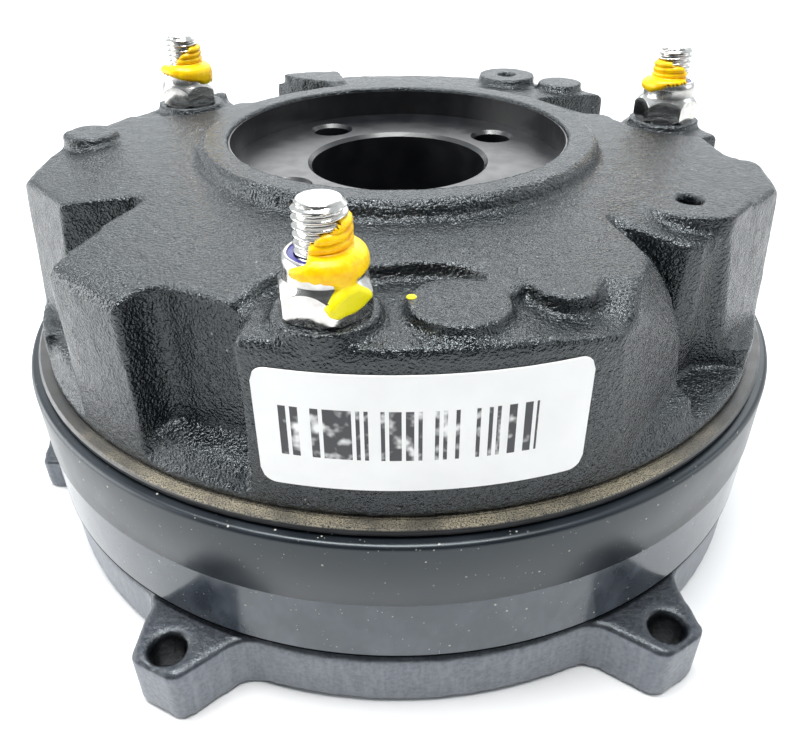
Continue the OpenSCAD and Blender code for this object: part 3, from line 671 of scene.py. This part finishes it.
# Lock nut: short chamfered hexagon below a tall round collar
def build_nut(i):
    cx, cy = CENTRES[i]
    bore, ring_r, ring_z = STUD_R + 0.05, STUD_R + 0.95, NUT_H - 2.3
    seat_r, widest_r = 6.8, 7.65
    outline = [
        (bore, 0.0),
        (seat_r, 0.0),
        (widest_r, 0.95),
        (widest_r, 3.4),
        (CONE_R, FLAT_Z),
        (COLLAR_R + 0.1, COLLAR_Z - 0.1),
        (COLLAR_R, COLLAR_Z + 0.2),
    ]
    for step in range(9):
        a = math.radians(90 * step / 8)
        outline.append((COLLAR_R - DOME_W + DOME_W * math.cos(a), DOME_Z + DOME_H * math.sin(a)))
    outline += [(ring_r, NUT_H - 0.1), (ring_r, ring_z), (bore, ring_z)]
    corner_r = HEX_R / math.cos(math.pi / 6)
    points, faces = [], [tuple(range(5, -1, -1)), tuple(range(6, 12))]
    for z in (-1.0, NUT_H + 1.0):
        for k in range(6):
            a = corner_of(i) + k * math.pi / 3
            points.append((cx + corner_r * math.cos(a), cy + corner_r * math.sin(a), NUT_Z + z))
    for k in range(6):
        n = (k + 1) % 6
        faces.append((k, n, 6 + n, 6 + k))
    prism = show("hexagon", mesh_of("hexagon", points, faces))
    edges = dict(
        width=0.14 * MM,
        segments=2,
        limit_method="ANGLE",
        angle_limit=math.radians(24),
        use_clamp_overlap=True,
    )
    turned = lathe(outline, cx, cy, NUT_Z)
    made = finish_mesh(turned, boolean("INTERSECT", prism), ("BEVEL", edges))
    bpy.data.objects.remove(prism)
    name, node = "nut_%d" % (i + 1), "lock_nut_%d" % (i + 1)
    settle(name, made, ZINC, "brake", "zinc_steel", node, sharp=24)


# Radius of the hexagon at a turn
def hex_r(turn, corner):
    a = (turn - corner) % (math.pi / 3) - math.pi / 6
    return HEX_R / math.cos(a)


# Outline of thread, nylon ring and collar that paint follows, from the tip down
SKIN_PATH = [
    (STUD_R, NUT_H + 7.2),
    (STUD_R, NUT_H + 0.5),
    (STUD_R + 0.2, NUT_H + 0.15),
    (STUD_R + 0.7, NUT_H + 0.02),
    (COLLAR_R - DOME_W, NUT_H),
    (COLLAR_R - 0.26, DOME_Z + 1.2),
    (COLLAR_R - 0.07, DOME_Z + 0.65),
    (COLLAR_R, DOME_Z),
    (COLLAR_R, COLLAR_Z),
]
SKIN_LENGTH = 16.5


# Radius and height above the nut's seat at a length along the outline
def skin(s, turn, corner):
    thread_share, flat_fall, cone_slope = 0.8, 0.85, 0.71
    for (r0, z0), (r1, z1) in zip(SKIN_PATH, SKIN_PATH[1:]):
        step = math.hypot(r1 - r0, z1 - z0)
        if s <= step:
            t = s / step
            r, z = r0 + (r1 - r0) * t, z0 + (z1 - z0) * t
            if r0 == STUD_R and r1 == STUD_R:
                r = STUD_R - thread_share * (STUD_R - thread_r(NUT_Z + z, turn))
            return r, z
        s -= step
    z = COLLAR_Z - s * flat_fall
    cone = CONE_R + (FLAT_Z - z) * cone_slope
    return max(COLLAR_R, min(hex_r(turn, corner), cone)), z


# Length along the outline down to a height and radius
def skin_s(z, r):
    step, radius_weight = 0.05, 0.3
    best, where = 1e9, 0.0
    s = 0.0
    while s < SKIN_LENGTH:
        rr, zz = skin(s, 0.4, 0.0)
        d = (zz - z) ** 2 + radius_weight * (min(rr, HEX_R) - min(r, HEX_R)) ** 2
        if d < best:
            best, where = d, s
        s += step
    return where


# Paint skin from rows of height above the seat, radius, and left and right angle it reaches
def build_paint(i, rows, thick):
    s_step, turn_step, margin = 0.14, 1.6, 14
    wobble, soft_edge, tuck = 0.22, 0.3, -0.4
    thread_share, thread_dip, dip, wall = 0.45, 0.8, 1.6, 0.5
    cx, cy = CENTRES[i]
    corner = corner_of(i)
    table = sorted((skin_s(z, r), a, b) for z, r, a, b in rows)
    lengths, lefts, rights = (np.array(column) for column in zip(*table))
    turns = np.arange(lefts.min() - margin, rights.max() + margin, turn_step)
    points, faces, inside = [], [], {}
    m, s = 0, 0.0
    while s < SKIN_LENGTH:
        left, right = np.interp(s, lengths, lefts), np.interp(s, lengths, rights)
        for n, deg in enumerate(turns):
            turn = math.radians(deg)
            r, z = skin(s, turn, corner)
            wob = wobble * noise.noise(Vector((turn * 5, s * 1.1, 7.3 + i)))
            # Distance in from the paint's edge
            f = min(deg - left, right - deg) * math.radians(1) * r + wob
            f = min(f, s - lengths[0] + wob, lengths[-1] - s + wob)
            if f < tuck:
                continue
            on_thread = r <= STUD_R
            r2, z2 = skin(s + 0.05, turn, corner)
            tr, tz = r2 - r, z2 - z
            size = math.hypot(tr, tz) or 1.0
            nr, nz = -tz / size, tr / size
            if r <= STUD_R + 0.001:
                nr, nz = 1.0, 0.0
            full = thick * (thread_share if on_thread else 1.0)
            if f > 0:
                t = full * (1 - math.exp(-f / soft_edge))
            else:
                t = f * (thread_dip if on_thread else dip)
            r, z = r + nr * t, z + nz * t
            inside[m, n] = len(points)
            points.append((cx + r * math.cos(turn), cy + r * math.sin(turn), NUT_Z + z))
        m += 1
        s += s_step
    for m, n in inside:
        cells = [(m, n), (m, n + 1), (m + 1, n + 1), (m + 1, n)]
        if all(c in inside for c in cells):
            faces.append(tuple(inside[c] for c in cells))
    solid = dict(thickness=wall * MM, offset=-1.0)
    mesh = finish_mesh(mesh_of("paint", points, faces), ("SOLIDIFY", solid))
    settle("paint_%d" % (i + 1), mend(mesh, 1e-7), PAINT, "brake", None, sharp=0)


for i in range(3):
    build_stud(i)
    build_nut(i)

# Paint on the front nut: a band round the thread, a lip on the collar, a run on the flats
FRONT_PAINT = [
    (13.7, STUD_R, -30, 58),
    (13.3, STUD_R, -50, 72),
    (12.8, STUD_R, -66, 85),
    (12.0, STUD_R, -84, 92),
    (11.2, STUD_R, -100, 96),
    (10.2, STUD_R, -107, 98),
    (9.1, 4.6, -104, 98),
    (9.05, 5.1, -105, 98),
    (8.8, 5.5, -108, 92),
    (8.5, 5.75, -115, 88),
    (8.1, 5.9, -127, 80),
    (7.7, COLLAR_R, -131, 60),
    (7.3, COLLAR_R, -122, 40),
    (7.0, COLLAR_R, -84, -10),
    (6.7, COLLAR_R, -70, -38),
    (6.2, COLLAR_R, -66, -42),
    (5.5, COLLAR_R, -66, -42),
    (4.7, 6.4, -72, -36),
    (4.0, 6.8, -78, -27),
    (3.3, 6.8, -80, -24),
    (2.6, 6.8, -77, -34),
    (2.0, 6.8, -70, -50),
]

# Paint on the second and third nut
SECOND_PAINT = [
    (13.0, STUD_R, -185, -118),
    (12.0, STUD_R, -190, -70),
    (11.0, STUD_R, -195, -58),
    (10.0, STUD_R, -195, -55),
    (9.1, 5.0, -200, -62),
    (8.6, 5.6, -200, -120),
    (8.0, COLLAR_R, -200, -130),
    (7.4, COLLAR_R, -190, -150),
]
THIRD_PAINT = [
    (14.0, STUD_R, -40, 30),
    (12.8, STUD_R, -62, 50),
    (11.6, STUD_R, -92, 60),
    (10.6, STUD_R, -96, 70),
    (9.8, STUD_R, -98, 80),
    (9.1, 5.0, -168, 90),
    (8.5, 5.7, -165, 80),
    (7.9, COLLAR_R, -112, 60),
    (7.0, COLLAR_R, -80, 40),
    (6.4, COLLAR_R, -48, 20),
    (5.6, COLLAR_R, -34, 5),
]
build_paint(0, FRONT_PAINT, 0.20)
build_paint(1, SECOND_PAINT, 0.26)
build_paint(2, THIRD_PAINT, 0.28)


# Small spot of the same paint beside the front nut
def build_spot(x, y, z, radius, height):
    core_r = 0.02
    outline = [(core_r, -0.5 * height)]
    for a in (-40, 0, 30, 60, 85):
        outline.append((radius * math.cos(math.radians(a)), height * math.sin(math.radians(a))))
    outline.append((core_r, height))
    settle("paint_spot", lathe(outline, x, y, z, 24), PAINT, "brake", None, sharp=0)


build_spot(1.9, -67.9, 76.9, 0.85, 0.3)

# The friction plate with the rounded edges of a casting
PLATE_VOXEL = 0.85
cast_plate = finish_mesh(copy_mesh("friction_plate"), *cast_steps(PLATE_VOXEL))
settle("plate", cast_plate, PLATE, "brake", "plate_iron", "friction_plate", sharp=0)


# Collar of two bands: the upper one stands a little proud and has a rounded top edge
def build_collar():
    low, high = (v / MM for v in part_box("sealing_collar"))
    thick, step, lip = 3.8, 0.2, 1.0
    outer, inner = high.x, high.x - thick
    lower_r = outer - step
    outline = [
        (inner, low.z),
        (lower_r - 1.2, low.z),
        (lower_r - 0.4, low.z + 0.45),
        (lower_r, low.z + 0.9),
        (lower_r, BAND_Z - 0.08),
        (outer - 0.05, BAND_Z),
        (outer, BAND_Z + 0.08),
    ]
    for k in range(7):
        a = math.radians(15 * k)
        outline.append((outer - lip + lip * math.cos(a), high.z - lip + lip * math.sin(a)))
    outline.append((inner, high.z))
    turned = lathe(outline, 0.0, 0.0, 0.0, 240)
    settle("collar", turned, RUBBER, "brake", "black_rubber", "sealing_collar", sharp=35)


build_collar()


# Label film that follows the leaning cast wall, with rounded corners
def build_label():
    low, high = (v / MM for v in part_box("label"))
    wide, corner, thick, lean, az = 51.0, 2.5, 0.3, 1.0 / 32.2, math.radians(-87.3)
    columns, rows = 104, 14
    points, faces = [], []
    for back in (0.0, thick):
        for i in range(columns + 1):
            x = wide * (i / columns - 0.5)
            past = max(0.0, abs(x) - wide / 2 + corner)
            inset = corner - math.sqrt(max(0.0, corner**2 - past**2))
            for j in range(rows + 1):
                z = low.z + inset + (high.z - low.z - 2 * inset) * j / rows
                r = -low.y - (z - low.z) * lean - back
                a = az + math.asin(x / r)
                points.append((r * math.cos(a), r * math.sin(a), z))
    line = rows + 1
    side = (columns + 1) * line
    for i in range(columns):
        for j in range(rows):
            k = i * line + j
            n = k + line
            faces.append((k, n, n + 1, k + 1))
            faces.append((side + k, side + k + 1, side + n + 1, side + n))
    # Points round the rim: bottom, right end, top, left end
    edge = [i * line for i in range(columns + 1)]
    edge += [columns * line + j for j in range(1, line)]
    edge += [i * line + rows for i in range(columns - 1, -1, -1)]
    edge += list(range(rows - 1, 0, -1))
    for a, b in zip(edge, edge[1:] + edge[:1]):
        faces.append((b, a, side + a, side + b))
    film = mesh_of("film", points, faces)
    finish = label_material(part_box("label"))
    settle("film", film, finish, "brake", "white_label", "label", sharp=40)


build_label()

# Brake springs: copies of their solids in spring steel
for i in range(1, 7):
    node = "brake_spring_%d" % i
    coil = copy_mesh(node)
    coil.materials.clear()
    coil.materials.append(SPRING)
    spring = show("spring_coil_%d" % i, coil)
    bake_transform(spring)
    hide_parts(node)

# Finishes of the nodes that keep their own shape, by the start of their names
LOOKS = {
    "nylon_ring": NYLON,
    "counter_spring": SPRING,
    "pressure_ring": SPRING,
    "brake_spring": SPRING,
    "damping_plate": SPRING,
    "driver": STEEL,
    "disc_carrier": STEEL,
    "pressure_plate": STEEL,
    "lining": LINING,
    "coil_former": FORMER,
    "coil_winding": COPPER,
    "coil_resin": RESIN,
    "lead_grommet": RUBBER,
}
for name, obj in nodes.items():
    for key, mat in LOOKS.items():
        if name.startswith(key):
            obj.data.materials.clear()
            obj.data.materials.append(mat)

# Pale flat floor just under the brake, in metres
FLOOR_HALF, FLOOR_Z = 3.0, -0.0002
corners = ((-1, -1), (1, -1), (1, 1), (-1, 1))
floor = bpy.data.meshes.new("floor")
floor_points = [(FLOOR_HALF * x, FLOOR_HALF * y, FLOOR_Z) for x, y in corners]
floor.from_pydata(floor_points, [], [(0, 1, 2, 3)])
table = Mat("pale_table")
cloud = table.span(table.noise(0.004), 0.3, 0.7)
table.color(table.mix(cloud, (0.86, 0.86, 0.86), (0.83, 0.83, 0.83)))
table.rough(table.span(table.noise(0.02), 0.3, 0.7, 0.5, 0.6))
floor.materials.append(table.mat)
ground = show("floor", floor)

# Surroundings: bright behind the brake, dim in front of it
FRONT_Y, BEHIND_Y, FRONT_LIGHT, BEHIND_LIGHT = -0.75, 0.25, 0.13, 1.0
world = bpy.data.worlds.new("studio")
bpy.context.scene.world = world
world.use_nodes = True
back = world.node_tree.nodes["Background"]
back.inputs["Color"].default_value = (0.90, 0.96, 1.0, 1.0)
sky = world.node_tree.nodes.new("ShaderNodeTexCoord")
axes = world.node_tree.nodes.new("ShaderNodeSeparateXYZ")
fade = world.node_tree.nodes.new("ShaderNodeMapRange")
for socket, value in zip(fade.inputs[1:5], (FRONT_Y, BEHIND_Y, FRONT_LIGHT, BEHIND_LIGHT)):
    socket.default_value = value
world.node_tree.links.new(sky.outputs["Generated"], axes.inputs[0])
world.node_tree.links.new(axes.outputs[1], fade.inputs[0])
world.node_tree.links.new(fade.outputs[0], back.inputs["Strength"])
bpy.context.scene.view_settings.view_transform = "Standard"


# Soft light of a given brightness, in metres, aimed at the brake
def softbox(name, place, size, brightness, target=(0, 0, 0.06)):
    data = bpy.data.lights.new(name, "AREA")
    data.shape = "RECTANGLE"
    data.size, data.size_y = size
    data.energy = brightness * math.pi * size[0] * size[1]
    obj = show(name, data)
    obj.location = place
    obj.rotation_mode = "QUATERNION"
    obj.rotation_quaternion = (Vector(target) - Vector(place)).to_track_quat("-Z", "Y")


softbox("top", (-0.05, -0.08, 0.95), (0.75, 0.2), 26.0)
softbox("back", (0.1, 1.0, 0.62), (1.5, 0.7), 1.95)
softbox("left", (-1.0, 0.05, 0.32), (0.9, 0.6), 4.4)
softbox("right", (1.0, 0.0, 0.42), (0.6, 0.5), 1.6)

# Camera fitted to the photograph: angles in radians, eye in metres,
# focal length in pixels of an image 800 wide and 754 high
PITCH_ANGLE, YAW, ROLL = 0.5947, 0.0007, -0.0071
FOCAL, IMAGE_WIDTH, SENSOR = 767.6, 800, 36.0
EYE = (0.0, -0.16984, 0.13144)
flat = math.cos(PITCH_ANGLE)
ahead = Vector((math.sin(YAW) * flat, math.cos(YAW) * flat, -math.sin(PITCH_ANGLE)))
side = Vector((math.cos(YAW), -math.sin(YAW), 0))
over = side.cross(ahead)
right = math.cos(ROLL) * side + math.sin(ROLL) * over
above = -math.sin(ROLL) * side + math.cos(ROLL) * over
lens = bpy.data.cameras.new("camera")
lens.sensor_width = SENSOR
lens.lens = FOCAL / IMAGE_WIDTH * SENSOR
lens.clip_start, lens.clip_end = 0.01, 20.0
camera = show("camera", lens)
camera.matrix_world = Matrix(
    (
        (right.x, above.x, -ahead.x, EYE[0]),
        (right.y, above.y, -ahead.y, EYE[1]),
        (right.z, above.z, -ahead.z, EYE[2]),
        (0, 0, 0, 1),
    )
)
bpy.context.scene.camera = camera
